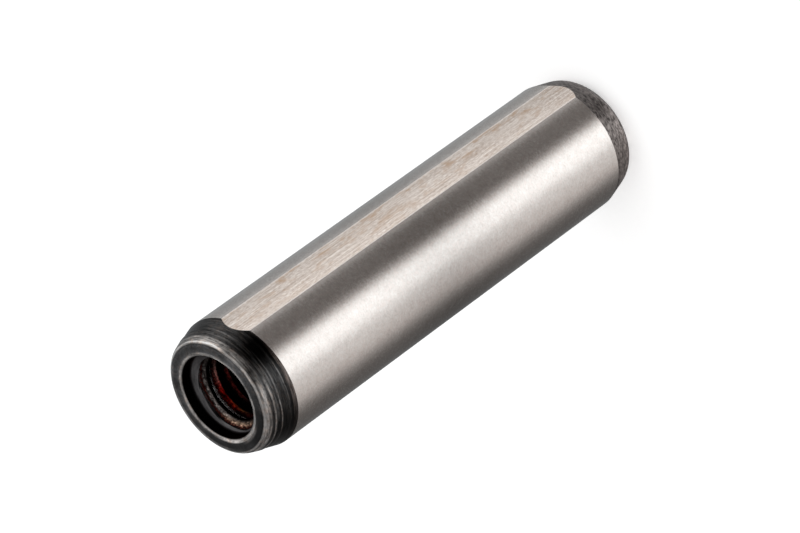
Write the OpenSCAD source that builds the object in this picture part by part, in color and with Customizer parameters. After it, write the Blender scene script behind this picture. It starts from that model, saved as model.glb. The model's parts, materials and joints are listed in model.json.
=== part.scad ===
// Pull-out dowel pin: a ground steel cylinder with an air vent flat, a tapered plain end
// and a tapered end that holds a blind threaded hole for the extractor screw.
// Z runs along the pin's axis. The plain end's face is at zero and the threaded end is up.
// The vent flat faces -Y.

/* [Ground body] */
// Diameter of the ground cylinder
body_d = 10; // [9:0.1:12]
// Length of the pin from end face to end face
pin_len = 40; // [30:1:60]
// Depth of the air vent flat below the ground surface
vent_depth = 0.15; // [0.05:0.01:0.4]

/* [Plain end] */
// Length of the plain end's taper along the axis, from the end face to the ground cylinder
tail_taper_len = 2.65; // [1.8:0.05:3.2]
// Lean of the plain end's taper from the axis, in degrees
tail_taper_angle = 14.5; // [5:0.5:25]
// Radius of the rounded edge between the taper and the plain end's face
tail_edge_r = 1.4; // [0.2:0.1:1.6]

/* [Threaded end] */
// Length of the threaded end's taper along the axis, from the end face to the ground cylinder
nose_taper_len = 2.25; // [1.5:0.05:3]
// Lean of the threaded end's taper from the axis, in degrees
nose_taper_angle = 17; // [10:0.5:20]
// Diameter of the nose where its land would meet the end face in a sharp corner
nose_d = 8.65; // [8.3:0.05:8.8]
// Length of the nose's land along the axis
nose_land_len = 0.95; // [0.6:0.05:1.1]
// Lean of the nose's land from the axis, in degrees
nose_land_angle = 19; // [10:1:25]
// Radius of the rounded edge between the land and the end face
nose_edge_r = 0.5; // [0.1:0.05:0.6]
// Width of the turned groove behind the land
groove_w = 0.16; // [0.08:0.02:0.3]
// Depth of that groove below the taper
groove_depth = 0.03; // [0.01:0.01:0.08]
// How far the turned threaded end and its hole sit off the ground cylinder's axis, towards +X
end_runout = 0.08; // [0:0.01:0.12]

/* [Threaded hole] */
// Nominal diameter of the extractor thread
thread_d = 6; // [5:0.5:6]
// Pitch of the extractor thread
thread_pitch = 1; // [0.5:0.05:1]
// Depth of the drilled core hole from the end face, without its pointed bottom
drill_depth = 16; // [12:1:20]
// Included angle of the drill point at the bottom of the hole, in degrees
drill_point_angle = 118; // [90:1:140]
// Diameter of the counterbore at the mouth
counterbore_d = 6.4; // [6.2:0.05:6.6]
// Depth of the counterbore's straight wall from the end face
counterbore_depth = 0.8; // [0.4:0.1:2]
// Included angle of the countersunk step between the counterbore and the core hole, in degrees
step_angle = 120; // [90:5:140]
// Width of the broken edge round the mouth
mouth_break_w = 0.28; // [0.1:0.02:0.4]
// Depth of that broken edge below the end face
mouth_break_depth = 0.1; // [0.05:0.01:0.3]

/* [Hidden] */
$fn = 180;
body_r = body_d / 2;
// Share of the ground diameter that grinding takes off the turned blank's radius
grinding_share = 0.05;
stock = grinding_share * body_d + end_runout;
tail_blank_len = tail_taper_len + stock / tan(tail_taper_angle);
nose_blank_len = nose_taper_len + stock / tan(nose_taper_angle);
// The core hole is drilled to the thread's tapping size
core_r = (thread_d - thread_pitch) / 2;
counterbore_r = counterbore_d / 2;
mouth_r = counterbore_r + mouth_break_w;
step_len = (counterbore_r - core_r) / tan(step_angle / 2);
point_len = core_r / tan(drill_point_angle / 2);
// A cutting tool runs this far past the face that it enters by
overrun = 1;
// Steps along a round edge
edge_steps = 12;

// Radius of the threaded end's taper at a distance from its end face
function nose_taper_r(z) = body_r - (nose_taper_len - z) * tan(nose_taper_angle);

// Radius of the nose's land at a distance from the end face
function nose_land_r(z) = nose_d / 2 + z * tan(nose_land_angle);

// Radius of the plain end's taper at a distance from its end face
function tail_taper_r(z) = body_r - (tail_taper_len - z) * tan(tail_taper_angle);

// Distance from the axis to the centre of a round edge that touches an end face and
// a wall that leans by the angle and has radius wall_r at the height of that centre
function edge_centre_r(wall_r, edge_r, angle) = wall_r - edge_r / cos(angle);

// Points of a round edge from the end face to a wall that leans by the angle
function round_edge(centre_r, edge_r, angle) = [
    for (turn = [0:1 / edge_steps:1])
        [centre_r + edge_r * sin(turn * (90 - angle)), edge_r - edge_r * cos(turn * (90 - angle))]
];

// Turned end, solid, with its face at zero. wall lists the points of its outer wall behind
// the round edge, radius first and distance from the end face second.
module turned_end(centre_r, edge_r, angle, wall) {
    depth = wall[len(wall) - 1][1];
    rotate_extrude() polygon(concat([[0, 0]], round_edge(centre_r, edge_r, angle), wall, [[0, depth]]));
}

// Plain end as turned, with stock outside the ground size
module tail_blank() {
    centre_r = edge_centre_r(tail_taper_r(tail_edge_r), tail_edge_r, tail_taper_angle);
    turned_end(centre_r, tail_edge_r, tail_taper_angle, [
        [tail_taper_r(tail_blank_len), tail_blank_len]
    ]);
}

// Threaded end as turned: round edge, land, groove and taper, measured from its end face
module nose_blank() {
    centre_r = edge_centre_r(nose_land_r(nose_edge_r), nose_edge_r, nose_land_angle);
    groove_z = nose_land_len + groove_w / 2;
    turned_end(centre_r, nose_edge_r, nose_land_angle, [
        [nose_land_r(nose_land_len), nose_land_len],
        [nose_taper_r(groove_z) - groove_depth, groove_z],
        [nose_taper_r(nose_land_len + groove_w), nose_land_len + groove_w],
        [nose_taper_r(nose_blank_len), nose_blank_len]
    ]);
}

// Blank between the two turned ends. It reaches into both, to where they are wider than
// the ground cylinder all round, and is a little narrower than they are there.
module middle_blank() {
    tail_joint = (tail_taper_len + tail_blank_len) / 2;
    nose_joint = (nose_taper_len + end_runout / tan(nose_taper_angle) + nose_blank_len) / 2;
    middle_r = (body_r + tail_taper_r(tail_joint)) / 2;
    translate([0, 0, tail_joint])
        cylinder(h = pin_len - tail_joint - nose_joint, r = middle_r);
}

// Threaded hole with its mouth at zero and its bottom up, drilled to the tapping size
module hole_cutter() {
    translate([0, 0, -overrun]) cylinder(h = overrun + drill_depth, r = core_r);
    translate([0, 0, drill_depth]) cylinder(h = point_len, r1 = core_r, r2 = 0);
    translate([0, 0, -overrun]) cylinder(h = overrun + counterbore_depth, r = counterbore_r);
    translate([0, 0, counterbore_depth]) cylinder(h = step_len, r1 = counterbore_r, r2 = core_r);
    cylinder(h = mouth_break_depth, r1 = mouth_r, r2 = counterbore_r);
}

// Puts a turned shape on the threaded end, with its zero at the end face
module at_threaded_end() {
    translate([end_runout, 0, pin_len]) mirror([0, 0, 1]) children();
}

// Cut that leaves the air vent flat, deepest in the middle of its width
module vent_cutter() {
    translate([-body_r, -body_r - overrun, -overrun])
        cube([body_d, overrun + vent_depth, pin_len + 2 * overrun]);
}

module dowel_pin() {
    color([0.66, 0.64, 0.62])
    difference() {
        intersection() {
            cylinder(h = pin_len, r = body_r);
            union() {
                tail_blank();
                middle_blank();
                at_threaded_end() nose_blank();
            }
        }
        vent_cutter();
        at_threaded_end() hole_cutter();
    }
}

dowel_pin();
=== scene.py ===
import json
import math
import bpy
import bmesh
from mathutils import Matrix, Vector


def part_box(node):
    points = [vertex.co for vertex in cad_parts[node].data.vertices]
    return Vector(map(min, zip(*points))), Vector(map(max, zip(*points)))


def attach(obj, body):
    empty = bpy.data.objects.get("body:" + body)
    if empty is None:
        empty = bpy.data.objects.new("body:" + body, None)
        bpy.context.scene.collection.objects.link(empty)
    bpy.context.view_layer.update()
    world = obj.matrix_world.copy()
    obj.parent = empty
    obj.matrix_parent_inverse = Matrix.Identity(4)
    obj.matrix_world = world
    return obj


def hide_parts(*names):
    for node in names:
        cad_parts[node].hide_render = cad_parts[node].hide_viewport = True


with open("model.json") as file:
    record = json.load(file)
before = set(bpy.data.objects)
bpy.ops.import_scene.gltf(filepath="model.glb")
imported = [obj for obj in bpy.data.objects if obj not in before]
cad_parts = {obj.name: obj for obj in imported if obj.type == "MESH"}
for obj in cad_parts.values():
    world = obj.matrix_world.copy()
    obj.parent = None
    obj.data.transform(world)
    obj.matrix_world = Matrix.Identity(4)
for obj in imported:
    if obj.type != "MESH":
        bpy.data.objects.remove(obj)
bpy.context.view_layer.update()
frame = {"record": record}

mm = 0.001


# small helpers for node trees

def plug(tree, value, socket):
    if isinstance(value, bpy.types.NodeSocket):
        tree.links.new(value, socket)
    else:
        socket.default_value = value


def addNode(tree, kind, sockets=None, **settings):
    made = tree.nodes.new(kind)
    for name, value in settings.items():
        setattr(made, name, value)
    for name, value in (sockets or {}).items():
        plug(tree, value, made.inputs[name])
    return made


def calc(tree, operation, *values):
    made = addNode(tree, "ShaderNodeMath", operation=operation)
    for socket, value in zip(made.inputs, values):
        plug(tree, value, socket)
    return made.outputs[0]


def between(tree, low, high, share):   # low at share 0, high at share 1
    return calc(tree, "MULTIPLY_ADD", calc(tree, "SUBTRACT", high, low), share, low)


def combine(tree, x, y, z):
    return addNode(tree, "ShaderNodeCombineXYZ", {"X": x, "Y": y, "Z": z}).outputs[0]


def vectorCalc(tree, operation, first, second):
    made = addNode(tree, "ShaderNodeVectorMath", operation=operation)
    plug(tree, first, made.inputs[0])
    plug(tree, second, made.inputs["Scale"] if operation == "SCALE" else made.inputs[1])
    return made.outputs["Value" if operation in ("LENGTH", "DISTANCE") else "Vector"]


def remap(tree, value, fromLow, fromHigh, toLow=0.0, toHigh=1.0):
    sockets = {"Value": value, "From Min": fromLow, "From Max": fromHigh, "To Min": toLow, "To Max": toHigh}
    return addNode(tree, "ShaderNodeMapRange", sockets).outputs["Result"]


def addObject(name, data):
    made = bpy.data.objects.new(name, data)
    bpy.context.scene.collection.objects.link(made)
    return made


# the pin's sizes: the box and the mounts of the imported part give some, the rest is as in the part's source

mounts = {mount["name"]: mount for mount in frame["record"]["mounts"]}
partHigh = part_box("dowel_pin")[1]
pinSizes = {
    "pinLength": partHigh.z,
    "groundRadius": mounts["ground_body"]["dims"]["r_mm"] * mm,
    "flatDistance": -mounts["vent_flat"]["pos_m"][1],
    "runOut": mounts["pull_thread"]["pos_m"][0],   # of the threaded end off the ground cylinder's axis
    "coreRadius": mounts["pull_thread"]["dims"]["r_mm"] * mm,
    "counterboreRadius": mounts["counterbore"]["dims"]["r_mm"] * mm,
    "plainTaperLength": 2.65 * mm,
    "plainTaperAngle": 14.5,
    "plainEdgeRadius": 1.4 * mm,
    "threadedTaperLength": 2.25 * mm,
    "threadedTaperAngle": 17.0,
    "noseRadius": 4.325 * mm,
    "landLength": 0.95 * mm,
    "landAngle": 19.0,
    "noseEdgeRadius": 0.5 * mm,
    "grooveWidth": 0.16 * mm,
    "grooveDepth": 0.03 * mm,
    "mouthBreakWidth": 0.28 * mm,
    "mouthBreakDepth": 0.1 * mm,
    "counterboreDepth": 0.8 * mm,
    "stepAngle": 120.0,
    "threadPitch": 1.0 * mm,
    "threadHeight": 0.54 * mm,
    "threadDepth": 12.0 * mm,
    "crestDepth": 1.6 * mm,        # where the thread's first crest starts: below the end face,
    "crestAzimuth": 47.0,          # and around the pin in degrees
    "drillDepth": 16.0 * mm,
    "drillPointAngle": 118.0,
    "stepsAround": 192,
    "flatSteps": 8,                # columns across half of the vent flat
    "edgeSteps": 12,
    "bodyRings": 28,
    "plainFaceShares": (0, 0.35, 0.7),
    "plainTaperShares": (0.34, 0.67),
    "threadedTaperShares": (0.66, 0.33, 0),
    "counterboreShares": (0, 0.5, 1),
    "drillShares": (0, 0.3, 0.65, 1),
    "drillPointShares": (0.5, 0),
    "turnsAbove": 3,               # spare turns of the thread, which its top and bottom cut off
    "turnsBelow": 2,
    "mergeDistance": 0.0004 * mm,
    "sharpAngle": 11.0,
}
finishes = ["plainEnd", "groundBody", "ventFlat", "nose", "bore"]
shownAzimuth = -133.0   # the side that the photograph shows, in degrees


def slopeOf(angle):
    return math.tan(math.radians(angle))


# the pin's outline as rings, from the middle of the plain end to the drill point

def outlineRings(s):
    rings = []
    top = s["pinLength"]

    def ring(radius, height, finish, **extra):
        rings.append({"radius": radius, "height": height, "finish": finishes.index(finish), **extra})

    def threadedRing(radius, depth, finish, **extra):   # depth below the threaded end's face
        ring(radius, top - depth, finish, threadedEnd=1, **extra)

    def roundEdge(wallRadius, edgeRadius, angle):   # from the end face to the wall, measured from the face
        centre = wallRadius - edgeRadius / math.cos(math.radians(angle))
        for i in range(s["edgeSteps"] + 1):
            turn = math.radians(90 - angle) * i / s["edgeSteps"]
            yield centre + edgeRadius * math.sin(turn), edgeRadius * (1 - math.cos(turn))

    def plainTaper(height):
        return s["groundRadius"] - (s["plainTaperLength"] - height) * slopeOf(s["plainTaperAngle"])

    def threadedTaper(depth):
        return s["groundRadius"] - (s["threadedTaperLength"] - depth) * slopeOf(s["threadedTaperAngle"])

    def land(depth):
        return s["noseRadius"] + depth * slopeOf(s["landAngle"])

    plainEdge = list(roundEdge(plainTaper(s["plainEdgeRadius"]), s["plainEdgeRadius"], s["plainTaperAngle"]))
    for share in s["plainFaceShares"]:
        ring(plainEdge[0][0] * share, 0, "plainEnd")
    for radius, height in plainEdge:
        ring(radius, height, "plainEnd")
    for share in s["plainTaperShares"]:
        ring(*plainEdge[-1], "plainEnd", toEdge=share)
    for i in range(s["bodyRings"] + 1):
        ring(*plainEdge[-1], "groundBody", onBody=1, alongBody=i / s["bodyRings"])
    rings[-1]["finish"] = finishes.index("nose")

    taperStart = s["landLength"] + s["grooveWidth"]
    grooveMiddle = s["landLength"] + s["grooveWidth"] / 2
    for share in s["threadedTaperShares"]:
        threadedRing(threadedTaper(taperStart), taperStart, "nose", toEdge=share)
    threadedRing(threadedTaper(grooveMiddle) - s["grooveDepth"], grooveMiddle, "nose")
    threadedRing(land(s["landLength"]), s["landLength"], "nose")
    noseEdge = list(roundEdge(land(s["noseEdgeRadius"]), s["noseEdgeRadius"], s["landAngle"]))
    for radius, depth in reversed(noseEdge):
        threadedRing(radius, depth, "nose")
    threadedRing(s["counterboreRadius"] + s["mouthBreakWidth"], 0, "nose")
    for share in s["counterboreShares"]:
        depth = s["mouthBreakDepth"] + (s["counterboreDepth"] - s["mouthBreakDepth"]) * share
        threadedRing(s["counterboreRadius"], depth, "bore")

    # one turn of the thread: share of the pitch below the crest's start, share of the thread's height
    turn = [(0, 0.03), (0.015, 0), (0.145, 0), (0.275, 0), (0.29, 0.03), (0.37, 0.25), (0.44, 0.46),
            (0.51, 0.69), (0.575, 0.9), (0.605, 0.97), (0.645, 1), (0.69, 0.97), (0.72, 0.9), (0.787, 0.69),
            (0.857, 0.46), (0.927, 0.24)]
    pitch = s["threadPitch"]
    azimuthShare = ((s["crestAzimuth"] + 90) / 360 + 0.5) % 1   # of a turn, from the side opposite the flat
    crestTop = top - s["crestDepth"] - azimuthShare * pitch + s["turnsAbove"] * pitch
    turns = math.ceil(s["threadDepth"] / pitch) + s["turnsAbove"] + s["turnsBelow"]
    for k in range(turns):
        for share, height in turn:
            radius = s["coreRadius"] + height * s["threadHeight"]
            ring(radius, crestTop - (k + share) * pitch, "bore", threadedEnd=1, helix=1)
    # rings that lie below the thread all around go, and of those above it the last one is enough
    threadBottom = top - s["threadDepth"]
    lowest = threadBottom - 2 * pitch
    rings = [r for r in rings if not r.get("helix") or lowest < r["height"]]
    first = next(i for i, r in enumerate(rings) if r.get("helix"))
    while rings[first + 1]["height"] > top - s["counterboreDepth"]:
        del rings[first]

    drillBottom = top - s["drillDepth"]
    pointLength = s["coreRadius"] / slopeOf(s["drillPointAngle"] / 2)
    for share in s["drillShares"]:
        ring(s["coreRadius"], threadBottom + (drillBottom - threadBottom) * share, "bore", threadedEnd=1)
    for share in s["drillPointShares"]:
        ring(s["coreRadius"] * share, drillBottom - pointLength * (1 - share), "bore", threadedEnd=1)
    return rings


def outlineObject(rings):
    mesh = bpy.data.meshes.new("pinOutline")
    points = [(r["radius"], 0, r["height"]) for r in rings]
    mesh.from_pydata(points, [(i, i + 1) for i in range(len(rings) - 1)], [])
    for name in ("threadedEnd", "toEdge", "onBody", "alongBody", "helix", "finish"):
        layer = mesh.attributes.new(name, "FLOAT", "POINT")
        layer.data.foreach_set("value", [float(r.get(name, 0)) for r in rings])
    return addObject("pinOutline", mesh)


# Geometry Nodes: turns the outline into the pin, ground to size, with its flat and its thread

def turnedPinTree(materials, inputs):
    tree = bpy.data.node_groups.new("Turned pin", "GeometryNodeTree")
    tree.is_modifier = True
    tree.interface.new_socket("Outline", in_out="INPUT", socket_type="NodeSocketGeometry")
    socketIds = {}
    for name, value in inputs.items():
        kind = "NodeSocketInt" if isinstance(value, int) else "NodeSocketFloat"
        socketIds[name] = tree.interface.new_socket(name, in_out="INPUT", socket_type=kind).identifier
    tree.interface.new_socket("Pin", in_out="OUTPUT", socket_type="NodeSocketGeometry")
    leastCosine = 0.5      # far outside the flat, so that its distance stays finite
    runOutTurns = 2        # turns over which the thread gets shallow at its bottom
    sameNumber = 0.1       # numbers of finishes less than this apart are the same
    given = addNode(tree, "NodeGroupInput").outputs
    outline = given["Outline"]

    # a grid of columns around the axis and rows along the outline
    rows = addNode(tree, "GeometryNodeAttributeDomainSize", {"Geometry": outline}).outputs["Point Count"]
    columns = calc(tree, "ADD", given["Steps Around"], 1)
    grid = addNode(tree, "GeometryNodeMeshGrid", {"Vertices X": columns, "Vertices Y": rows}).outputs["Mesh"]
    index = addNode(tree, "GeometryNodeInputIndex").outputs[0]
    row = calc(tree, "MODULO", index, rows)
    column = calc(tree, "FLOOR", calc(tree, "DIVIDE", index, rows))

    def outlineValue(name, at=row):
        value = addNode(tree, "GeometryNodeInputNamedAttribute", {"Name": name}, data_type="FLOAT").outputs[0]
        sockets = {"Geometry": outline, "Value": value, "Index": at}
        return addNode(tree, "GeometryNodeSampleIndex", sockets, data_type="FLOAT").outputs[0]

    place = addNode(tree, "GeometryNodeInputPosition").outputs[0]
    sockets = {"Geometry": outline, "Index": row}
    sampled = addNode(tree, "GeometryNodeSampleIndex", sockets, data_type="FLOAT_VECTOR")
    tree.links.new(place, sampled.inputs["Value"])
    split = addNode(tree, "ShaderNodeSeparateXYZ", {"Vector": sampled.outputs[0]}).outputs
    outlineRadius, outlineHeight = split["X"], split["Z"]

    # column angle from the middle of the flat, with columns on both of the flat's edges
    turnShare = calc(tree, "MULTIPLY_ADD", calc(tree, "DIVIDE", column, given["Steps Around"]), 2, -1)
    away = calc(tree, "ABSOLUTE", turnShare)
    flatShare = calc(tree, "MULTIPLY", calc(tree, "DIVIDE", given["Flat Steps"], given["Steps Around"]), 2)
    flatAngle = calc(tree, "ARCCOSINE", calc(tree, "DIVIDE", given["Flat Distance"], given["Ground Radius"]))
    inside = remap(tree, away, 0, flatShare, 0, flatAngle)
    outside = remap(tree, away, flatShare, 1, 0, calc(tree, "SUBTRACT", math.pi, flatAngle))
    angle = calc(tree, "MULTIPLY", calc(tree, "ADD", inside, outside), calc(tree, "SIGN", turnShare))
    azimuth = calc(tree, "SUBTRACT", angle, math.pi / 2)

    # the ground surface in this column: the cylinder, or the flat where that lies further in
    cosine = calc(tree, "MAXIMUM", calc(tree, "COSINE", angle), leastCosine)
    toFlat = calc(tree, "DIVIDE", given["Flat Distance"], cosine)
    groundRadius = calc(tree, "MINIMUM", given["Ground Radius"], toFlat)
    ground = combine(tree, calc(tree, "MULTIPLY", groundRadius, calc(tree, "COSINE", azimuth)),
                     calc(tree, "MULTIPLY", groundRadius, calc(tree, "SINE", azimuth)), 0)

    # where each taper comes out through the ground surface
    threadedEnd = outlineValue("threadedEnd")
    threadedAxis = combine(tree, given["Run-out"], 0, 0)
    reach = vectorCalc(tree, "DISTANCE", ground, threadedAxis)

    def taperEdge(radius, length, slope):
        rise = calc(tree, "DIVIDE", calc(tree, "SUBTRACT", given["Ground Radius"], radius), slope)
        return calc(tree, "SUBTRACT", length, rise)

    plainEdge = taperEdge(groundRadius, given["Plain Taper Length"], given["Plain Taper Slope"])
    threadedDepth = taperEdge(reach, given["Threaded Taper Length"], given["Threaded Taper Slope"])
    threadedEdge = calc(tree, "SUBTRACT", given["Pin Length"], threadedDepth)
    edgeHeight = between(tree, plainEdge, threadedEdge, threadedEnd)
    bodyHeight = between(tree, plainEdge, threadedEdge, outlineValue("alongBody"))

    # thread rows climb a pitch in each turn and stay inside the tapped length
    helix = outlineValue("helix")
    turnsDone = calc(tree, "MULTIPLY_ADD", angle, 0.5 / math.pi, 0.5)
    climbed = calc(tree, "MULTIPLY_ADD", turnsDone, given["Thread Pitch"], outlineHeight)
    held = calc(tree, "MAXIMUM", calc(tree, "MINIMUM", climbed, given["Thread Top"]), given["Thread Bottom"])
    runOutEnd = calc(tree, "MULTIPLY_ADD", given["Thread Pitch"], runOutTurns, given["Thread Bottom"])
    full = remap(tree, held, given["Thread Bottom"], runOutEnd)
    threadRadius = between(tree, given["Core Radius"], outlineRadius, full)
    coneDepth = calc(tree, "SUBTRACT", given["Thread Top"], held)
    coneRadius = calc(tree, "SUBTRACT", given["Counterbore Radius"],
                      calc(tree, "MULTIPLY", coneDepth, given["Cone Slope"]))
    cutRadius = calc(tree, "MAXIMUM", threadRadius, coneRadius)
    radius = between(tree, outlineRadius, cutRadius, helix)
    height = between(tree, outlineHeight, held, helix)

    # place: on the outline, moved towards the taper's edge, or along the ground body
    axis = vectorCalc(tree, "SCALE", threadedAxis, threadedEnd)
    outward = vectorCalc(tree, "NORMALIZE", vectorCalc(tree, "SUBTRACT", ground, axis), (0, 0, 0))
    turned = vectorCalc(tree, "ADD", vectorCalc(tree, "ADD", axis, combine(tree, 0, 0, height)),
                        vectorCalc(tree, "SCALE", outward, radius))
    edge = vectorCalc(tree, "ADD", ground, combine(tree, 0, 0, edgeHeight))
    body = vectorCalc(tree, "ADD", ground, combine(tree, 0, 0, bodyHeight))

    def mixPlaces(first, second, share):
        sockets = {"Factor": share, 4: first, 5: second}   # 4 and 5 are the places that it mixes
        return addNode(tree, "ShaderNodeMix", sockets, data_type="VECTOR").outputs[1]

    where = mixPlaces(mixPlaces(turned, edge, outlineValue("toEdge")), body, outlineValue("onBody"))
    shaped = addNode(tree, "GeometryNodeSetPosition", {"Geometry": grid, "Position": where}).outputs[0]

    # each face keeps the number of its finish
    def onFaces(value):
        return addNode(tree, "GeometryNodeFieldOnDomain", {"Value": value}, domain="POINT").outputs[0]

    rowFinish = outlineValue("finish", calc(tree, "FLOOR", onFaces(row)))
    onGround = calc(tree, "COMPARE", rowFinish, finishes.index("groundBody"), sameNumber)
    onFlat = calc(tree, "MULTIPLY", onGround, calc(tree, "LESS_THAN", onFaces(away), flatShare))
    shift = finishes.index("ventFlat") - finishes.index("groundBody")
    number = calc(tree, "MULTIPLY_ADD", onFlat, shift, rowFinish)
    sockets = {"Geometry": shaped, "Name": "finish", "Value": number}
    marked = addNode(tree, "GeometryNodeStoreNamedAttribute", sockets, data_type="FLOAT", domain="FACE")

    sockets = {"Geometry": marked.outputs[0], "Distance": given["Merge Distance"]}
    closed = addNode(tree, "GeometryNodeMergeByDistance", sockets).outputs[0]
    smooth = addNode(tree, "GeometryNodeSetShadeSmooth", {"Geometry": closed}).outputs[0]
    made = addNode(tree, "GeometryNodeRealizeInstances", {"Geometry": smooth}).outputs[0]
    finish = addNode(tree, "GeometryNodeInputNamedAttribute", {"Name": "finish"}, data_type="FLOAT")
    for number, name in enumerate(finishes):
        chosen = calc(tree, "COMPARE", finish.outputs[0], number, sameNumber)
        sockets = {"Geometry": made, "Selection": chosen, "Material": materials[name]}
        made = addNode(tree, "GeometryNodeSetMaterial", sockets).outputs[0]
    tree.links.new(made, addNode(tree, "NodeGroupOutput").inputs["Pin"])
    return tree, socketIds


# materials, all on Object coordinates in millimetres. In a dictionary of looks, a range or factor reads: from
# these two values to 0 and 1, or to the two that follow

def showSurface(tree, surface):
    output = next(n for n in tree.nodes if n.type == "OUTPUT_MATERIAL")
    tree.links.new(surface, output.inputs["Surface"])


def newMaterial(name, metallic=1.0):
    material = bpy.data.materials.new(name)
    material.use_nodes = True
    tree = material.node_tree
    tree.nodes.clear()
    addNode(tree, "ShaderNodeOutputMaterial")
    shader = addNode(tree, "ShaderNodeBsdfPrincipled", {"Metallic": metallic})
    showSurface(tree, shader.outputs[0])
    return material, tree, shader


def dress(tree, shader, colour, roughness, height, depth):
    bump = addNode(tree, "ShaderNodeBump", {"Height": height, "Distance": depth}).outputs[0]
    for name, value in (("Base Color", colour), ("Roughness", roughness), ("Normal", bump)):
        plug(tree, value, shader.inputs[name])


def pinCoordinates(tree, stretch=(1, 1, 1), centre=(0, 0, 0)):   # centre in mm
    objectPlace = addNode(tree, "ShaderNodeTexCoord").outputs["Object"]
    sockets = {"Vector": objectPlace, "Scale": [v / mm for v in stretch],
               "Location": [-c * v for c, v in zip(centre, stretch)]}
    return addNode(tree, "ShaderNodeMapping", sockets).outputs[0]


def noise(tree, stretch=(1, 1, 1), centre=(0, 0, 0), scale=1.0, detail=2, roughness=0.5, distortion=0):
    place = pinCoordinates(tree, stretch, centre)
    sockets = {"Vector": place, "Scale": scale, "Detail": detail, "Roughness": roughness,
               "Distortion": distortion}
    return addNode(tree, "ShaderNodeTexNoise", sockets).outputs[0]


def ramp(tree, value, stops):
    made = addNode(tree, "ShaderNodeValToRGB", {"Fac": value})
    elements = made.color_ramp.elements
    while len(elements) < len(stops):
        elements.new(0.5)
    for element, (position, colour) in zip(elements, stops):
        element.position = position
        element.color = (*colour, 1)
    return made.outputs["Color"]


def levels(tree, value, stops):   # straight lines between stops of value and level
    low, high = stops[0][0], stops[-1][0]
    top = max(level for position, level in stops)
    shares = [((position - low) / (high - low), [level / top] * 3) for position, level in stops]
    return calc(tree, "MULTIPLY", ramp(tree, remap(tree, value, low, high), shares), top)


def blend(tree, first, second, share):
    made = addNode(tree, "ShaderNodeMix", data_type="RGBA")
    for socket, value in ((0, share), (6, first), (7, second)):   # the share and the two colours
        plug(tree, (*value, 1) if isinstance(value, tuple) else value, made.inputs[socket])
    return made.outputs[2]


# where a point lies on an end: radius and depth in mm, and the turn in degrees from the side that the
# photograph shows, up to the angle where it breaks

def endCoordinates(tree, axisX, faceZ, breakAt=180):
    place = pinCoordinates(tree, centre=(axisX / mm, 0, faceZ / mm))
    x, y, z = addNode(tree, "ShaderNodeSeparateXYZ", {"Vector": place}).outputs
    radius = vectorCalc(tree, "LENGTH", combine(tree, x, y, 0), (0, 0, 0))
    azimuth = calc(tree, "MULTIPLY", calc(tree, "ARCTAN2", y, x), 180 / math.pi)
    start = breakAt - 360
    fromStart = calc(tree, "ADD", azimuth, -shownAzimuth - start)
    turn = calc(tree, "ADD", calc(tree, "FLOORED_MODULO", fromStart, 360), start)
    return radius, calc(tree, "MULTIPLY", z, -1), turn


# a zone paints its colour by its levels along a span and around the axis. At the ends of its span a level is
# 0 unless one is given there, and around the axis the levels end as they start

zoneSpans = {"outline": (-0.32, 4), "helix": (1.2, 5), "radius": (2.4, 3.4)}   # in mm


def spanned(stops, start, end, closed=False):
    if stops[0][0] != start:
        stops = [(start, 0), *stops]
    if stops[-1][0] != end:
        stops = [*stops, (end, stops[0][1] if closed else 0)]
    return stops


def zonePaint(tree, zones, coordinates, turn, breakAt=180):
    paint = None
    for zone in zones.values():
        by = zone.get("by", "outline")
        share = levels(tree, coordinates[by], spanned(zone["along"], *zoneSpans[by]))
        if "limit" in zone:
            name, low, high = zone["limit"]
            share = calc(tree, "MULTIPLY", share, remap(tree, coordinates[name], low, high))
        around = spanned(zone["around"], breakAt - 360, breakAt, closed=True)
        share = calc(tree, "MULTIPLY", share, levels(tree, turn, around))
        coat = vectorCalc(tree, "SCALE", zone["colour"], share)
        paint = vectorCalc(tree, "ADD", paint, coat) if paint else coat
    return paint


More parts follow.
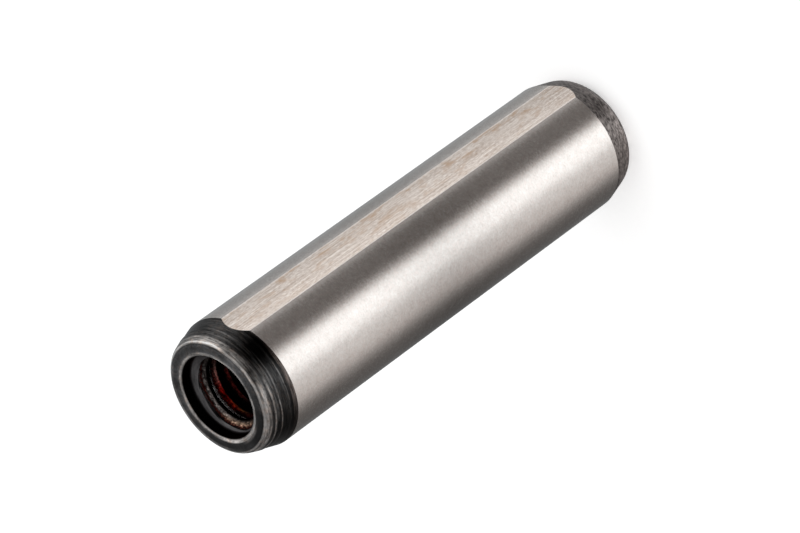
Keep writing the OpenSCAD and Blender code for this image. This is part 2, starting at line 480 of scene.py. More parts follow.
def groundSteel(s):
    look = {
        "bright": (0.75, 0.715, 0.685), "dull": (0.6, 0.552, 0.52), "blush": (0.71, 0.64, 0.605),
        "cloud": {"scale": 1.7, "detail": 3, "roughness": 0.6},
        "strokes": {"stretch": (4.6, 4.6, 7), "detail": 3, "roughness": 0.75},
        "tints": {"scale": 5, "detail": 3, "centre": (9, 0, 0)},
        "cloudShare": 0.36, "strokeShare": 0.64,
        "toneRange": (0.36, 0.63), "tintRange": (0.48, 0.62, 0, 0.6), "roughness": (0.3, 0.7, 0.21, 0.27),
        "bumpDepth": 0.0016 * mm,
        # painted reflection: a darker band half way along and lighter towards the ends, by mm from the
        # threaded end, and how strongly it is painted around the pin
        "paintedReflectionBand": [(0, 1.03), (4, 1.03), (9, 1.04), (13, 1), (16.5, 0.9), (19, 0.86), (21.5, 0.9), (25, 1),
                 (29, 1.03), (34, 1.05), (40, 1.05)],
        "paintedReflectionReach": [(-180, 1), (-90, 2), (-80, 2), (-64, 1.5), (-48, 1.6), (-24, 1.1), (8, 1.1), (24, 0.8),
                      (64, 0.7), (90, 0.3), (180, 1)],
    }
    material, tree, shader = newMaterial("groundSteel")
    cloud = noise(tree, **look["cloud"])
    strokes = noise(tree, **look["strokes"])
    tone = calc(tree, "ADD", calc(tree, "MULTIPLY", cloud, look["cloudShare"]),
                calc(tree, "MULTIPLY", strokes, look["strokeShare"]))
    colour = blend(tree, look["dull"], look["bright"], remap(tree, tone, *look["toneRange"]))
    tints = noise(tree, **look["tints"])
    colour = blend(tree, colour, look["blush"], remap(tree, tints, *look["tintRange"]))
    depth, turn = endCoordinates(tree, 0, s["pinLength"])[1:]
    # painted reflection band: the steel's colour made darker half way along and lighter at the ends, more
    # strongly on some sides
    paintedReflectionBand = between(tree, 1, levels(tree, depth, look["paintedReflectionBand"]), levels(tree, turn, look["paintedReflectionReach"]))
    colour = vectorCalc(tree, "SCALE", colour, paintedReflectionBand)
    dress(tree, shader, colour, remap(tree, strokes, *look["roughness"]), strokes, look["bumpDepth"])
    return material


# the flat was milled before the pin was ground: fine lines along it, brown patches, painted highlights along
# its two edges and a painted sheen across it

def ventFlat(s):
    look = {
        "light": (0.85, 0.79, 0.74), "dark": (0.43, 0.345, 0.29), "brown": (0.5, 0.36, 0.26),
        # the colour of the painted highlights along the flat's two edges
        "edge": (0.86, 0.81, 0.77),
        "lines": {"stretch": (13, 13, 0.2), "detail": 2, "roughness": 0.6},
        "flecks": {"stretch": (13, 13, 3), "centre": (3, 0, 0), "detail": 3, "roughness": 0.7},
        "patches": {"stretch": (2.2, 2.2, 0.8), "centre": (7, 0, 0), "detail": 3, "roughness": 0.6},
        "flecksShare": 0.55, "lineRange": (0.385, 0.61), "patchRange": (0.5, 0.68, 0, 0.75),
        "patchSides": (0.3, 1.3), "paintedSheenAcross": (1.18, 0.89),   # at the flat's edges, first the one at -X; the painted sheen runs from light at -X to darker at +X
        "along": [(0, 0.86), (4, 0.9), (12, 0.98), (24, 1.04), (33, 1.04), (40, 1)],   # by mm of height
        "edgeHighlightWidth": 0.1, "edgeHighlightStrength": 0.8, "roughness": 0.42, "lineDepth": 0.003 * mm,
    }
    material, tree, shader = newMaterial("ventFlatSteel")
    lines = noise(tree, **look["lines"])
    flecks = noise(tree, **look["flecks"])
    patches = noise(tree, **look["patches"])
    grain = between(tree, lines, flecks, look["flecksShare"])
    place = addNode(tree, "ShaderNodeSeparateXYZ", {"Vector": pinCoordinates(tree)}).outputs
    across = place["X"]
    halfWidth = math.sqrt(s["groundRadius"] ** 2 - s["flatDistance"] ** 2) / mm
    colour = blend(tree, look["dark"], look["light"], remap(tree, grain, *look["lineRange"]))
    patchSide = remap(tree, across, -halfWidth, halfWidth, *look["patchSides"])
    patched = calc(tree, "MULTIPLY", remap(tree, patches, *look["patchRange"]), patchSide)
    colour = blend(tree, colour, look["brown"], patched)
    # painted sheen: the flat lighter at -X and darker at +X, scaled by height along the flat
    side = remap(tree, across, -halfWidth, halfWidth, *look["paintedSheenAcross"])
    side = calc(tree, "MULTIPLY", side, levels(tree, place["Z"], look["along"]))
    colour = vectorCalc(tree, "SCALE", colour, side)
    fromMiddle = calc(tree, "ABSOLUTE", across)
    # painted highlights along both sharp edges of the flat, where they catch the light
    paintedEdgeHighlight = remap(tree, fromMiddle, halfWidth - look["edgeHighlightWidth"], halfWidth, 0, look["edgeHighlightStrength"])
    colour = blend(tree, colour, look["edge"], paintedEdgeHighlight)
    dress(tree, shader, colour, look["roughness"], grain, look["lineDepth"])
    return material


def plainEndScale(s):
    look = {
        "dark": (0.055, 0.046, 0.043), "light": (0.4, 0.353, 0.335),
        "mottle": {"stretch": (3.1, 3.1, 7.5), "detail": 3, "roughness": 0.64},
        "broad": {"scale": 1.1},
        "mottleRange": (0.355, 0.655), "broadRange": (0.35, 0.65, -0.06, 0.06),
        # painted light and shade around the axis, lightest near -68 degrees, and towards the outer edge, at
        # most brightest
        "around": [(-180, 0.8), (-80, 2.5), (-68, 2.8), (-56, 2.1), (-45, 1.7), (-30, 1.35), (-15, 1.05),
                   (0, 0.88), (12, 0.74), (35, 0.52), (45, 0.64), (60, 1), (180, 0.8)],
        "outerPaintedLight": [(0, 1.1), (0.5, 0.95), (1.1, 0.86), (1.5, 1.2), (1.9, 1.7), (3, 1.9)],
        "brightest": 2.3,
        # the dark line where the ground cylinder starts
        "edgeLine": [(0, 1), (0.28, 1), (0.42, 0), (3, 0)],
        "edgeLineAround": [(-180, 0), (-100, 0.3), (-85, 0.9), (-66, 0.8), (-52, 0.35), (0, 0.05), (30, 0.2),
                           (50, 0), (180, 0)],
        "roughness": 0.42, "bumpDepth": 0.006 * mm,
    }
    material, tree, shader = newMaterial("plainEndScale")
    depth, turn = endCoordinates(tree, 0, s["plainTaperLength"])[1:]
    mottle = noise(tree, **look["mottle"])
    broad = noise(tree, **look["broad"])
    broadly = remap(tree, broad, *look["broadRange"])
    spots = calc(tree, "ADD", remap(tree, mottle, *look["mottleRange"]), broadly)
    colour = blend(tree, look["dark"], look["light"], spots)
    lineReach = levels(tree, turn, look["edgeLineAround"])
    line = calc(tree, "MULTIPLY", levels(tree, depth, look["edgeLine"]), lineReach)
    # painted light and shade: the scale's colour made lighter or darker by turn around the axis and towards
    # the outer edge
    outerPaintedLight = levels(tree, depth, look["outerPaintedLight"])
    shade = calc(tree, "MULTIPLY", levels(tree, turn, look["around"]), outerPaintedLight)
    shade = calc(tree, "MINIMUM", shade, look["brightest"])
    shade = calc(tree, "MULTIPLY", shade, calc(tree, "SUBTRACT", 1, line))
    colour = vectorCalc(tree, "SCALE", colour, shade)
    dress(tree, shader, colour, look["roughness"], mottle, look["bumpDepth"])
    return material


# the threaded end, by mm along the outline from the mouth's outer edge: radius gained and depth added

# Around the axis the zones' levels paint light and shade into the scale's colour: painted highlights on the
# rims and edges, and sides made lighter or darker as the light falls
noseZones = {
    # painted highlight on the mouth's rim, on the near side
    "painted highlight on the near rim of the mouth": {
        "colour": (0.36, 0.34, 0.328),
        "along": [(-0.19, 0.3), (-0.12, 0.95), (-0.03, 1), (0.03, 0)],
        "around": [(-120, 0), (-98, 0.9), (-60, 1.1), (-30, 1.6), (45, 1.75), (60, 1.35), (78, 0.5),
                   (90, 0)],
    },
    "painted highlight on the far rim of the mouth": {
        # painted highlight on the mouth's rim, on the far side
        "colour": (0.36, 0.34, 0.328),
        "along": [(-0.17, 0), (-0.12, 0.95), (-0.06, 1), (-0.02, 0.4), (0.02, 0)],
        "around": [(-180, 0.95), (-150, 0.8), (-130, 1.5), (-110, 1.3), (-95, 0.4), (-88, 0), (70, 0),
                   (88, 0.75), (120, 0.8), (150, 0.5)],
    },
    "worn patch beside the rim": {
        "colour": (0.13, 0.122, 0.118),
        "along": [(-0.03, 0), (0.03, 1), (0.12, 0.65), (0.25, 0)],
        "around": [(-102, 0), (-88, 0.8), (-70, 1), (-57, 0.1), (-48, 0)],
    },
    "end face": {
        "colour": (0.056, 0.056, 0.058),
        "along": [(-0.03, 0), (0.03, 1.6), (0.2, 1), (0.38, 0.92), (0.6, 1.4), (0.7, 0.4), (0.76, 0)],
        "around": [(-180, 0.5), (-160, 0.36), (-140, 0.24), (-120, 0.18), (-92, 0.26), (-76, 0.04),
                   (-50, 0.12), (-35, 0.3), (-20, 0.52), (0, 1), (20, 1.5), (40, 1), (80, 0.72),
                   (120, 0.58), (150, 0.7)],
    },
    # painted highlight on the rounded edge of the face, on the far side
    "painted highlight on the face's edge on the far side": {
        "colour": (0.26, 0.25, 0.245),
        "along": [(0.4, 0), (0.6, 1), (0.8, 1), (0.95, 0)],
        "around": [(-180, 1.6), (-150, 1), (-130, 0.4), (-115, 0.05), (-100, 0), (100, 0), (145, 0.35),
                   (165, 0.9)],
    },
    # partly bright worn metal, partly a painted highlight on the rounded edge
    "worn edge with a painted highlight": {
        "colour": (0.52, 0.495, 0.48),
        "along": [(0.66, 0), (0.75, 0.7), (0.85, 1), (0.96, 0.55), (1.03, 0.08), (1.07, 0)],
        "around": [(-180, 1.2), (-150, 1.25), (-120, 0.95), (-90, 0.48), (-66, 0.45), (-50, 0.5),
                   (-35, 0.52), (-20, 0.52), (-8, 0.8), (3, 0.85), (15, 0.85), (27, 0.8), (45, 0.5),
                   (66, 0.6), (90, 1.05)],
    },
    "lower part of the land on the shown side": {
        "colour": (0.16, 0.151, 0.146),
        "along": [(0.92, 0), (1.01, 1), (1.16, 0.8), (1.26, 0)],
        "around": [(-100, 0.2), (-72, 0.9), (-50, 1), (-33, 0.75), (-22, 0.35), (-12, 0)],
    },
    # painted highlight on the rounded edge below the flat
    "painted highlight on the edge below the flat": {
        "colour": (0.6, 0.575, 0.56),
        "along": [(0.74, 0), (0.85, 0.75), (0.94, 1), (1.01, 0.8), (1.09, 0.3), (1.2, 0)],
        "around": [(-180, 1), (-150, 1.3), (-110, 1.5), (-95, 0.3), (-85, 0), (26, 0), (33, 0.5),
                   (42, 1.5), (58, 1.35), (72, 0.95), (90, 0.45), (120, 0.8)],
    },
    "land": {
        "colour": (0.3, 0.284, 0.274),
        "along": [(0.96, 0), (1.15, 0.9), (1.3, 0.95), (1.42, 1.05), (1.49, 1), (1.56, 0.5), (1.62, 0.1),
                  (1.85, 0)],
        "around": [(-180, 1.3), (-90, 2.4), (-72, 2.5), (-60, 1.6), (-47, 0.75), (-33, 0.95),
                   (-20, 0.95), (-9, 0.25), (2, 0.08), (12, 0.75), (20, 0.95), (29, 0.75), (42, 0.85),
                   (60, 1.05), (72, 1.45), (90, 1.35)],
    },
    "grey edge of the land beside the shaded taper": {
        "colour": (0.07, 0.066, 0.064),
        "along": [(1.48, 0), (1.56, 1), (1.66, 0.8), (1.76, 0.3), (1.84, 0)],
        "around": [(-10, 0), (2, 0.9), (14, 1), (22, 0.2), (30, 0)],
    },
    "streak behind the land": {
        "colour": (0.34, 0.32, 0.308),
        "along": [(1.82, 0), (1.9, 0.85), (1.96, 1.1), (2.03, 0.3), (2.08, 0)],
        "around": [(-180, 0.3), (-85, 1.4), (-70, 1.5), (-50, 0.78), (-33, 0.52), (-20, 0.58),
                   (-8, 0.07), (3, 0.1), (15, 0.05), (30, 0.1), (60, 0.1), (90, 0.3)],
    },
    "groove": {
        "colour": (0.04, 0.039, 0.039),
        "along": [(2.0, 0), (2.1, 1), (2.28, 1), (2.36, 0)],
        "around": [(-180, 0.3), (-60, 0.5), (-35, 0.7), (-20, 1.4), (0, 0.8), (12, 0.15), (25, 0.15),
                   (45, 0.3)],
    },
    "taper": {
        "colour": (0.03, 0.0295, 0.0295),
        "along": [(1.5, 0), (1.62, 1), (3.42, 1), (3.5, 0.55), (3.66, 0.5), (3.74, 1), (4, 1)],
        # painted reflection around the axis, darkest from 0 to 20 degrees
        "around": [(-180, 1), (-85, 1.2), (-75, 0.8), (-60, 0.5), (-45, 0.75), (-30, 1.15), (-17, 1.6),
                   (-8, 1), (0, 0.3), (7, 0.07), (12, 0.05), (20, 0.14), (27, 1.1), (45, 1.5),
                   (75, 1.45), (90, 1.25)],
    },
    "first bright ring": {
        "colour": (0.13, 0.123, 0.12),
        "along": [(2.49, 0), (2.54, 1.3), (2.6, 0.4), (2.65, 0)],
        "around": [(-180, 0.4), (-85, 0.9), (-68, 1.6), (-50, 1.6), (-35, 1.3), (-20, 0.9), (-10, 0.6),
                   (-2, 0.25), (12, 0.1), (20, 0), (120, 0)],
    },
    "first bright ring on the far side": {
        "colour": (0.13, 0.123, 0.12),
        "along": [(2.3, 0), (2.36, 0.9), (2.44, 1), (2.5, 0)],
        "around": [(8, 0), (20, 0.3), (40, 0.6), (58, 0.4), (80, 0.1), (120, 0)],
    },
    "second bright ring": {
        "colour": (0.12, 0.113, 0.11),
        "along": [(3.27, 0), (3.34, 0.9), (3.39, 0.8), (3.45, 0)],
        "around": [(-180, 0.3), (-60, 0.15), (-45, 0.2), (-33, 0.4), (-20, 0.85), (-8, 0.65), (-1, 0.1),
                   (180, 0.1)],
    },
    "brown edge beside the ground cylinder": {
        "colour": (0.12, 0.092, 0.08),
        "along": [(3.67, 0), (3.73, 0.5), (3.79, 1), (4, 1)],
        "around": [(-180, 0.3), (-65, 0.12), (-48, 0.2), (-33, 0.45), (-20, 0.7), (-8, 0.5), (3, 0.3),
                   (14, 0.05)],
    },
}


def noseScale(s):
    look = {
        "streaks": {"stretch": (0.8, 0.8, 11.5), "detail": 3, "roughness": 0.68},
        "wander": {"stretch": (0.5, 0.5, 3), "centre": (0, 0, 3)},
        "blotch": {"stretch": (2.2, 2.2, 4), "detail": 3, "roughness": 0.6, "distortion": 0.4},
        "stains": {"stretch": (2.6, 2.6, 7), "centre": (5, 0, 0), "detail": 3, "roughness": 0.65},
        "specks": {"scale": 7, "roughness": 0.7},
        # how far the zones wander along the outline, in mm, and how much of that they do near the mouth
        "wanderWidth": 0.035, "wanderRange": (0.3, 0.7, -1, 1), "wanderReach": (0, 1, 0.2, 1),
        "streakFactor": (0.36, 0.64, 0.5, 1.55), "blotchFactor": (0.3, 0.7, 0.8, 1.25),
        "stainFactor": (0.54, 0.64, 1, 0.5), "speckFactor": (0.35, 0.65, 0.7, 1.3),
        "wearReach": [(-0.4, 0.5), (0.6, 0.6), (0.75, 0.3), (1, 0.4), (1.15, 1), (2.2, 1), (4, 0.8)],
        "speckReach": [(-0.4, 0.4), (0.6, 1), (0.8, 0.2), (4, 0.2)],
        "brown": (1.05, 0.96, 0.9), "brownRange": (0.5, 0.62), "roughness": (0.35, 0.65, 0.27, 0.4),
        "ringDepth": 0.0035 * mm,
    }
    material, tree, shader = newMaterial("noseScale")
    radius, depth, turn = endCoordinates(tree, s["runOut"], s["pinLength"])
    mouthEdge = (s["counterboreRadius"] + s["mouthBreakWidth"]) / mm
    streak = noise(tree, **look["streaks"])
    wander = noise(tree, **look["wander"])
    blotch = noise(tree, **look["blotch"])
    outline = calc(tree, "ADD", calc(tree, "SUBTRACT", radius, mouthEdge), depth)
    wandering = calc(tree, "MULTIPLY", remap(tree, outline, *look["wanderReach"]), look["wanderWidth"])
    outline = calc(tree, "MULTIPLY_ADD", remap(tree, wander, *look["wanderRange"]), wandering, outline)
    paint = zonePaint(tree, noseZones, {"outline": outline}, turn)
    stains = noise(tree, **look["stains"])
    specks = noise(tree, **look["specks"])
    blotched = remap(tree, blotch, *look["blotchFactor"])
    worn = calc(tree, "MULTIPLY", remap(tree, stains, *look["stainFactor"]), blotched)
    worn = between(tree, 1, worn, levels(tree, outline, look["wearReach"]))
    speckled = remap(tree, specks, *look["speckFactor"])
    speckled = between(tree, 1, speckled, levels(tree, outline, look["speckReach"]))
    wear = calc(tree, "MULTIPLY", worn, speckled)
    strength = calc(tree, "MULTIPLY", remap(tree, streak, *look["streakFactor"]), wear)
    browned = vectorCalc(tree, "MULTIPLY", paint, look["brown"])
    tinted = blend(tree, paint, browned, remap(tree, blotch, *look["brownRange"]))
    colour = vectorCalc(tree, "SCALE", tinted, strength)
    dress(tree, shader, colour, remap(tree, streak, *look["roughness"]), streak, look["ringDepth"])
    return material


# the hole: the step by its radius, the thread by the depth of its helix in mm

# the step is painted darker towards its outer radius: painted shade in the counterbore's corner
boreStep = {
    "step": {
        "colour": (0.08, 0.078, 0.08), "by": "radius", "limit": ("helix", 1.28, 1.23),
        # painted shade: near black beyond a radius of 3.1 mm
        "along": [(2.4, 1), (2.72, 1.25), (2.9, 1.05), (3.05, 0.85), (3.1, 0.2), (3.15, 0.02),
                  (3.4, 0.02)],
        "around": [(0, 0.6), (110, 0.7), (130, 0.75), (150, 0.95), (195, 1), (212, 1.3), (230, 1.6),
                   (250, 1.6)],
    },
    "root of the first flank": {
        "colour": (0.08, 0.078, 0.08), "by": "helix",
        "along": [(1.23, 0), (1.28, 1), (1.34, 1), (1.38, 0)],
        "around": [(0, 0.8), (110, 0.9), (182, 0.9), (196, 0.1), (360, 0)],
    },
}
boreZones = {
    "first flank": {
        "colour": (0.3, 0.265, 0.25), "by": "helix",
        "along": [(1.43, 0), (1.48, 0.5), (1.54, 1), (1.575, 0.9), (1.6, 0)],
        "around": [(0, 0.06), (115, 0.07), (130, 0.15), (150, 0.33), (165, 0.35), (180, 0.48),
                   (195, 0.62), (210, 0.95), (222, 0.5), (240, 0.2)],
    },
    "first flank where it leaves the step": {
        "colour": (0.3, 0.2, 0.14), "by": "helix",
        "along": [(1.36, 0), (1.42, 0.8), (1.46, 1), (1.52, 0.85), (1.56, 0)],
        "around": [(200, 0), (211, 0.6), (221, 1.5), (235, 1.6), (250, 1.4), (280, 0.3)],
    },
    "red line above the first flank": {
        "colour": (0.075, 0.011, 0.006), "by": "helix",
        "along": [(1.31, 0), (1.35, 1), (1.42, 1), (1.46, 0)],
        "around": [(0, 0.05), (115, 0.08), (135, 0.5), (150, 1), (165, 0.9), (180, 0.7), (200, 0.5),
                   (215, 0.9), (240, 1.1), (270, 0.4)],
    },
    # painted light on the root of the second flank, which lies in shade deep in the groove
    "painted light on the root of the second flank": {
        "colour": (0.8, 0.7, 0.71), "by": "helix",
        "along": [(2.2, 0), (2.24, 1), (2.34, 1), (2.38, 0)],
        "around": [(0, 0.1), (115, 0.1), (150, 0.55), (165, 1.2), (180, 1.5), (215, 1.3), (232, 1.2),
                   (250, 0.5)],
    },
    "second flank": {
        "colour": (0.2, 0.15, 0.13), "by": "helix",
        "along": [(2.42, 0), (2.5, 1), (2.58, 1), (2.61, 0)],
        "around": [(0, 0.02), (120, 0.02), (135, 0.1), (150, 0.45), (160, 0.3), (168, 0.05), (175, 0),
                   (360, 0)],
    },
    "rust on the second flank": {
        "colour": (0.2, 0.003, 0.0005), "by": "helix",
        "along": [(2.36, 0), (2.43, 0.9), (2.52, 1), (2.58, 1), (2.61, 0)],
        "around": [(135, 0.05), (158, 0.6), (172, 1), (200, 1), (209, 1.1), (220, 0.15), (260, 0.1)],
    },
    "golden edge of the second flank": {
        "colour": (0.09, 0.05, 0.014), "by": "helix",
        "along": [(2.5, 0), (2.55, 1), (2.6, 1), (2.63, 0)],
        "around": [(188, 0), (204, 0.3), (212, 0.6), (226, 0.25), (245, 0)],
    },
    "rust on the third flank": {
        "colour": (0.055, 0.0045, 0.0035), "by": "helix",
        "along": [(3.46, 0), (3.52, 1), (3.59, 1), (3.62, 0)],
        "around": [(145, 0.1), (158, 1.2), (190, 1), (203, 0.4), (212, 0.1)],
    },
    "everywhere": {
        "colour": (0.005, 0.0035, 0.0035), "by": "radius",
        "along": [(2.4, 1), (3.4, 0.3)],
        "around": [(0, 1)],
    },
}


def boreScale(s):
    look = {
        "streaks": {"stretch": (1, 1, 12), "detail": 3, "roughness": 0.6},
        "spots": {"scale": 5.5, "detail": 3, "roughness": 0.6},
        "flakes": {"stretch": (2.8, 2.8, 4), "centre": (0, 4, 0)},
        "shift": (0.3, 0.7, -0.035, 0.035),   # of the zones along the thread, in mm
        "streakFactor": (0.36, 0.64, 0.25, 1.6), "spotFactor": (0.39, 0.61, 0.35, 1.5),
        "flakeFactor": (0.4, 0.58, 0.55, 1.2), "stepFactor": (0.34, 0.66, 0.7, 1.3),
        "roughness": 0.42, "grazingTint": (0.6, 0.5, 0.5, 1), "bumpDepth": 0.006 * mm,
    }
    breakAt = 360
    material, tree, shader = newMaterial("boreScale")
    radius, depth, turn = endCoordinates(tree, s["runOut"], s["pinLength"], breakAt)
    fromMiddle = calc(tree, "ADD", turn, -breakAt / 2)
    helix = calc(tree, "MULTIPLY_ADD", fromMiddle, s["threadPitch"] / mm / 360, depth)
    streak = noise(tree, **look["streaks"])
    spots = noise(tree, **look["spots"])
    flakes = noise(tree, **look["flakes"])
    shifted = calc(tree, "ADD", helix, remap(tree, spots, *look["shift"]))
    places = {"radius": radius, "helix": shifted}
    rust = zonePaint(tree, boreZones, places, turn, breakAt)
    spotted = remap(tree, spots, *look["spotFactor"])
    strength = calc(tree, "MULTIPLY", remap(tree, streak, *look["streakFactor"]), spotted)
    strength = calc(tree, "MULTIPLY", strength, remap(tree, flakes, *look["flakeFactor"]))
    step = zonePaint(tree, boreStep, places, turn, breakAt)
    paint = vectorCalc(tree, "ADD", vectorCalc(tree, "SCALE", rust, strength),
                       vectorCalc(tree, "SCALE", step, remap(tree, streak, *look["stepFactor"])))
    shader.inputs["Specular Tint"].default_value = look["grazingTint"]
    dress(tree, shader, paint, look["roughness"], spots, look["bumpDepth"])
    return material


materials = {
    "plainEnd": plainEndScale(pinSizes),
    "groundBody": groundSteel(pinSizes),
    "ventFlat": ventFlat(pinSizes),
    "nose": noseScale(pinSizes),
    "bore": boreScale(pinSizes),
}
print("materials made:", ", ".join(m.name for m in materials.values()))


def buildPin(s):
    outline = outlineObject(outlineRings(s))
    values = {
        "Steps Around": s["stepsAround"], "Flat Steps": s["flatSteps"],
        "Ground Radius": s["groundRadius"], "Flat Distance": s["flatDistance"], "Run-out": s["runOut"],
        "Pin Length": s["pinLength"], "Plain Taper Length": s["plainTaperLength"],
        "Plain Taper Slope": slopeOf(s["plainTaperAngle"]),
        "Threaded Taper Length": s["threadedTaperLength"],
        "Threaded Taper Slope": slopeOf(s["threadedTaperAngle"]),
        "Counterbore Radius": s["counterboreRadius"], "Core Radius": s["coreRadius"],
        "Cone Slope": slopeOf(s["stepAngle"] / 2), "Thread Top": s["pinLength"] - s["counterboreDepth"],
        "Thread Bottom": s["pinLength"] - s["threadDepth"], "Thread Pitch": s["threadPitch"],
        "Merge Distance": s["mergeDistance"],
    }
    tree, socketIds = turnedPinTree(materials, values)
    modifier = outline.modifiers.new("turnedPin", "NODES")
    modifier.node_group = tree
    for name, value in values.items():
        modifier[socketIds[name]] = value
    evaluated = outline.evaluated_get(bpy.context.evaluated_depsgraph_get())
    mesh = bpy.data.meshes.new_from_object(evaluated)
    outline.modifiers.remove(modifier)
    bpy.data.objects.remove(outline)
    shell = bmesh.new()
    shell.from_mesh(mesh)
    bmesh.ops.recalc_face_normals(shell, faces=shell.faces)
    if shell.calc_volume(signed=True) < 0:
        bmesh.ops.reverse_faces(shell, faces=shell.faces)
    openEdges = sum(not edge.is_manifold for edge in shell.edges)
    volume = round(shell.calc_volume(signed=True) / mm ** 3, 2)
    print("pin mesh:", len(shell.faces), "faces,", openEdges, "open edges, volume", volume, "mm3")
    shell.to_mesh(mesh)
    shell.free()
    mesh.attributes.remove(mesh.attributes["finish"])
    mesh.set_sharp_from_angle(angle=math.radians(s["sharpAngle"]))
    mesh.name = "dressedPin"
    return addObject("dressedPin", mesh)


pin = buildPin(pinSizes)
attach(pin, "root")
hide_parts("dowel_pin")
print("pin built")


# the studio: a pale floor, one soft lamp, and a bowl that only reflections see

studio = {
    "floorSize": 4.0,
    "floorColour": (0.86, 0.86, 0.86),
    "floorRoughness": 0.9,
    "floorGlow": 0.5,
    "bowlRadius": 1.2,
    "bowlHeight": 0.02,
    "bowlElevations": (-89.0, 22.0),
    "bowlRings": 22,
    "bowlColumns": 64,
    "warmthCuts": (0.0, 0.057, 0.085),   # red, green and blue that a warmth of 1 takes away
    "worldStrength": 1.0,
    "worldDiffuse": 0.75,
    "lampPower": 1.1,
    "lampSize": 0.5,
    "lampPlace": (0.1, -0.25, 0.75),
    # what the ground steel reflects: azimuth in degrees, brightness, and warmth, cool below 0
    "bowlTones": [
        (-180, 0.88, 0), (-165, 1.4, -0.3), (-149, 1.54, -0.5), (-141, 1.5, -0.4), (-134, 1.09, 0),
        (-128, 0.52, 0.6), (-121, 0.22, 1), (-115, 0.16, 1), (-101, 0.19, 1), (-86, 0.2, 0.8),
        (-76, 0.4, 0.3), (-64, 1.25, 0), (-47, 1.13, 0), (-30, 1.05, 0), (-14, 0.355, -0.5),
        (11, 0.345, -0.6), (27, 0.385, -1.1), (43, 0.37, -1.2), (55, 0.26, -1), (67, 0.16, -0.6),
        (83, 0.12, 0), (99, 0.12, 0.4), (115, 0.13, 0.8), (131, 0.27, 0.6), (147, 0.6, 0.8),
        (163, 0.76, 0.4), (180, 0.88, 0),
    ],
}


def clearRays(tree):   # 1 for the rays that see the white background
    rays = addNode(tree, "ShaderNodeLightPath").outputs
    others = calc(tree, "MAXIMUM", rays["Is Glossy Ray"], rays["Is Transmission Ray"])
    return calc(tree, "MAXIMUM", rays["Is Camera Ray"], others)


def buildFloor(s):
    half = s["floorSize"] / 2
    corners = [(-half, -half, 0), (half, -half, 0), (half, half, 0), (-half, half, 0)]
    mesh = bpy.data.meshes.new("floor")
    mesh.from_pydata(corners, [], [(0, 1, 2, 3)])
    floor = addObject("floor", mesh)
    material, tree, shader = newMaterial("paleFloor", 0)
    shader.inputs["Base Color"].default_value = (*s["floorColour"], 1)
    shader.inputs["Roughness"].default_value = s["floorRoughness"]
    shader.inputs["Specular IOR Level"].default_value = 0
    strength = calc(tree, "MULTIPLY", clearRays(tree), s["floorGlow"])
    glow = addNode(tree, "ShaderNodeEmission", {"Strength": strength})
    both = addNode(tree, "ShaderNodeAddShader")
    tree.links.new(shader.outputs[0], both.inputs[0])
    tree.links.new(glow.outputs[0], both.inputs[1])
    showSurface(tree, both.outputs[0])
    mesh.materials.append(material)
    floor.visible_glossy = False


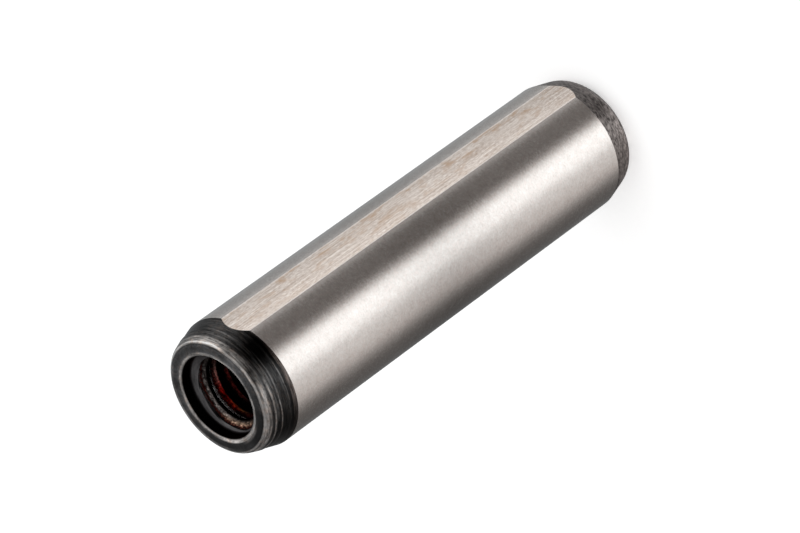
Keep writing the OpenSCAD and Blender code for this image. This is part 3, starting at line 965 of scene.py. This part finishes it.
def buildBowl(s):
    rings, columns = s["bowlRings"], s["bowlColumns"]
    low, high = s["bowlElevations"]
    points, faces = [], []
    for i in range(rings + 1):
        elevation = math.radians(low + (high - low) * i / rings)
        for j in range(columns):
            turn = math.tau * j / columns
            outward = math.cos(elevation)
            direction = (outward * math.cos(turn), outward * math.sin(turn), math.sin(elevation))
            points.append([s["bowlRadius"] * v for v in direction])
    for i in range(rings):
        for j in range(columns):
            this, above = i * columns, (i + 1) * columns
            k = (j + 1) % columns
            faces.append((this + j, this + k, above + k, above + j))
    mesh = bpy.data.meshes.new("reflectionBowl")
    mesh.from_pydata(points, [], faces)
    bowl = addObject("reflectionBowl", mesh)
    bowl.location = (0, 0, s["bowlHeight"])
    material, tree, shader = newMaterial("reflectionBowlTone")
    tree.nodes.remove(shader)
    objectPlace = addNode(tree, "ShaderNodeTexCoord").outputs["Object"]
    around = addNode(tree, "ShaderNodeTexGradient", {"Vector": objectPlace}, gradient_type="RADIAL")
    top = max(tone for azimuth, tone, warmth in s["bowlTones"])
    stops = []
    for azimuth, tone, warmth in s["bowlTones"]:
        stops.append(((azimuth + 180) / 360, [tone / top * (1 - cut * warmth) for cut in s["warmthCuts"]]))
    tone = ramp(tree, around.outputs["Fac"], stops)
    glow = addNode(tree, "ShaderNodeEmission", {"Color": tone, "Strength": top})
    showSurface(tree, glow.outputs[0])
    mesh.materials.append(material)
    bowl.visible_camera = False
    bowl.visible_diffuse = False
    bowl.visible_shadow = False
    bowl.visible_transmission = False


def buildWorld(s):
    world = bpy.data.worlds.new("studioWorld")
    bpy.context.scene.world = world
    world.use_nodes = True
    tree = world.node_tree
    tree.nodes.clear()
    strength = between(tree, s["worldDiffuse"], s["worldStrength"], clearRays(tree))
    sky = addNode(tree, "ShaderNodeBackground", {"Strength": strength})
    output = addNode(tree, "ShaderNodeOutputWorld")
    tree.links.new(sky.outputs[0], output.inputs["Surface"])


def buildLamp(s):
    data = bpy.data.lights.new("softLamp", "AREA")
    data.shape = "DISK"
    data.size = s["lampSize"]
    data.energy = s["lampPower"]
    lamp = addObject("softLamp", data)
    lamp.location = s["lampPlace"]
    lamp.rotation_euler = (-Vector(s["lampPlace"])).to_track_quat("-Z", "Y").to_euler()
    lamp.visible_glossy = False


buildFloor(studio)
buildBowl(studio)
buildWorld(studio)
buildLamp(studio)
bpy.context.scene.view_settings.view_transform = "Standard"
print("studio built")


# the camera stands above the threaded end and is rolled, as in the photograph

cameraSettings = {
    "lens": 211.606,
    "sensor": 36.0,
    "clipStart": 0.01,
    "place": (-0.177113, -0.189979, 0.219910),
    "right": (-0.764956, 0.039967, -0.642841),
    "up": (0.348981, -0.813151, -0.465830),
}


def buildCamera(s):
    data = bpy.data.cameras.new("camera")
    data.sensor_fit = "HORIZONTAL"
    data.sensor_width = s["sensor"]
    data.lens = s["lens"]
    data.clip_start = s["clipStart"]
    camera = addObject("camera", data)
    right = Vector(s["right"]).normalized()
    up = Vector(s["up"]).normalized()
    turn = Matrix((right, up, right.cross(up))).transposed()
    camera.matrix_world = Matrix.Translation(s["place"]) @ turn.to_4x4()
    bpy.context.scene.camera = camera


buildCamera(cameraSettings)
print("camera placed")
